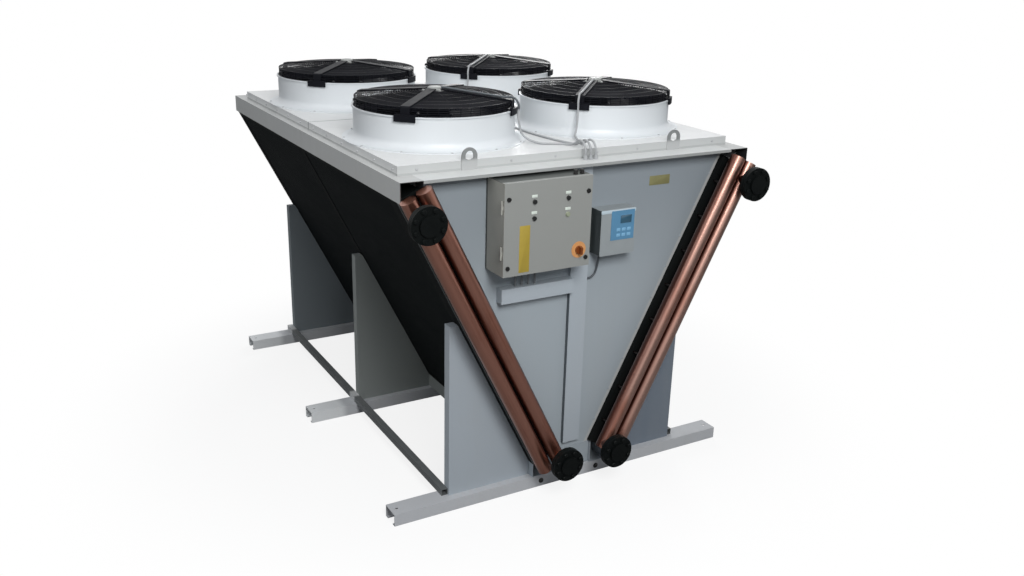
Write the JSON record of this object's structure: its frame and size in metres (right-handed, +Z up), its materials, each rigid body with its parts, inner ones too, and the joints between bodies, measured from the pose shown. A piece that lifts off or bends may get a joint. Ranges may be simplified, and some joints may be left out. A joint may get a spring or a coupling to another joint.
{
  "type": "air-cooled condenser",
  "caption": "Long V-shaped air-cooled condenser: leaning finned coils under a flat deck of guarded axial fans, copper headers with flanged ends and a control cabinet at the front.",
  "frame": {"origin": "on the floor under the centre of the overall length and width", "axes": "+X to the right seen from the front end, which has the headers and the cabinet; +Y along the machine from that end to the rear; +Z up"},
  "size_m": [2.332, 3.25, 2.3381],
  "materials": {
    "deck_white": "semi-gloss powder coat",
    "fan_white": "semi-gloss powder coat",
    "rim_grey": "semi-gloss powder coat",
    "panel_grey": "satin powder coat",
    "frame_grey": "satin powder coat",
    "rail_grey": "satin powder coat",
    "coil_black": "matt coated fins",
    "casing_black": "satin",
    "copper": "bare drawn copper, slightly tarnished",
    "flange_black": "semi-gloss",
    "guard_black": "satin",
    "impeller_black": "satin",
    "cabinet_grey": "fine structured powder coat",
    "gear_grey": "matt",
    "lock_black": "matt",
    "button_black": "gloss",
    "lamp_green": "translucent lens",
    "plate_yellow": "satin",
    "knob_red": "gloss",
    "box_white": "matt moulded",
    "keypad_blue": "satin film",
    "cable_grey": "matt",
    "gland_black": "matt"
  },
  "bodies": {
    "frame": {"blank_covers": "flange_black", "cabinet_box": "cabinet_grey", "cable_ducts": "panel_grey", "cable_glands": "gland_black", "cables": "cable_grey", "coil_casing_left": "casing_black", "coil_casing_right": "casing_black", "coil_end_covers": "casing_black", "coil_fins_left": "coil_black", "coil_fins_right": "coil_black", "coil_sills": "frame_grey", "controller_box": "box_white", "controller_keypad": "keypad_blue", "cross_beam": "deck_white", "deck_panel_front": "deck_white", "deck_panel_rear": "deck_white", "deck_rim_left": "rim_grey", "deck_rim_right": "rim_grey", "deck_strips": "deck_white", "fan_cowl_front_left": "fan_white", "fan_cowl_front_right": "fan_white", "fan_cowl_rear_left": "fan_white", "fan_cowl_rear_right": "fan_white", "fan_guard_front_left": "guard_black", "fan_guard_front_right": "guard_black", "fan_guard_rear_left": "guard_black", "fan_guard_rear_right": "guard_black", "fan_motors": "guard_black", "floor_rail_front": "rail_grey", "floor_rail_middle": "rail_grey", "floor_rail_rear": "rail_grey", "front_panel": "panel_grey", "header_inlet_left": "copper", "header_inlet_right": "copper", "header_outlet_left": "copper", "header_outlet_right": "copper", "legs_left": "frame_grey", "legs_right": "frame_grey", "lifting_lugs": "rim_grey", "partition": "frame_grey", "pipe_flanges": "flange_black", "plenum_floor": "frame_grey", "rear_panel": "panel_grey", "switchgear": "gear_grey", "tie_bars": "frame_grey"},
    "button_lower_left": {"push_button_lower_left": "button_black"},
    "button_upper_left": {"push_button_upper_left": "button_black"},
    "button_upper_right": {"push_button_upper_right": "button_black"},
    "door": {"cabinet_door": "cabinet_grey", "door_lamp": "lamp_green", "switch_plate": "plate_yellow"},
    "impeller_front_left": {"fan_impeller_front_left": "impeller_black"},
    "impeller_front_right": {"fan_impeller_front_right": "impeller_black"},
    "impeller_rear_left": {"fan_impeller_rear_left": "impeller_black"},
    "impeller_rear_right": {"fan_impeller_rear_right": "impeller_black"},
    "knob": {"switch_knob": "knob_red"},
    "lock_high_left": {"door_lock_high_left": "lock_black"},
    "lock_high_right": {"door_lock_high_right": "lock_black"},
    "lock_low_left": {"door_lock_low_left": "lock_black"},
    "lock_low_right": {"door_lock_low_right": "lock_black"}
  },
  "joints": [
    {"name": "spin_front_left", "type": "hinge", "parent": "frame", "child": "impeller_front_left", "pos_m": [-0.56, -0.61, 2.139], "axis": [0, 0, 1], "continuous": true},
    {"name": "spin_front_right", "type": "hinge", "parent": "frame", "child": "impeller_front_right", "pos_m": [0.56, -0.61, 2.139], "axis": [0, 0, 1], "continuous": true},
    {"name": "spin_rear_left", "type": "hinge", "parent": "frame", "child": "impeller_rear_left", "pos_m": [-0.56, 0.8, 2.139], "axis": [0, 0, 1], "continuous": true},
    {"name": "spin_rear_right", "type": "hinge", "parent": "frame", "child": "impeller_rear_right", "pos_m": [0.56, 0.8, 2.139], "axis": [0, 0, 1], "continuous": true},
    {"name": "door_hinge", "type": "hinge", "parent": "frame", "child": "door", "pos_m": [-0.6095, -1.5175, 1.709], "axis": [0, 0, -1], "range_deg": [0, 115]},
    {"name": "lock_turn_low_left", "type": "hinge", "parent": "door", "child": "lock_low_left", "pos_m": [-0.577, -1.534, 1.504], "axis": [0, -1, 0], "range_deg": [0, 90]},
    {"name": "lock_turn_high_left", "type": "hinge", "parent": "door", "child": "lock_high_left", "pos_m": [-0.577, -1.534, 1.878], "axis": [0, -1, 0], "range_deg": [0, 90]},
    {"name": "lock_turn_low_right", "type": "hinge", "parent": "door", "child": "lock_low_right", "pos_m": [-0.084, -1.534, 1.504], "axis": [0, 1, 0], "range_deg": [0, 90]},
    {"name": "lock_turn_high_right", "type": "hinge", "parent": "door", "child": "lock_high_right", "pos_m": [-0.084, -1.534, 1.878], "axis": [0, 1, 0], "range_deg": [0, 90]},
    {"name": "knob_turn", "type": "hinge", "parent": "door", "child": "knob", "pos_m": [-0.131, -1.536, 1.552], "axis": [0, 1, 0], "range_deg": [0, 90]},
    {"name": "press_upper_left", "type": "slide", "parent": "door", "child": "button_upper_left", "axis": [0, 1, 0], "range_m": [0, 0.004], "stiffness_N_per_m": 300},
    {"name": "press_lower_left", "type": "slide", "parent": "door", "child": "button_lower_left", "axis": [0, 1, 0], "range_m": [0, 0.004], "stiffness_N_per_m": 300},
    {"name": "press_upper_right", "type": "slide", "parent": "door", "child": "button_upper_right", "axis": [0, 1, 0], "range_m": [0, 0.004], "stiffness_N_per_m": 300}
  ]
}
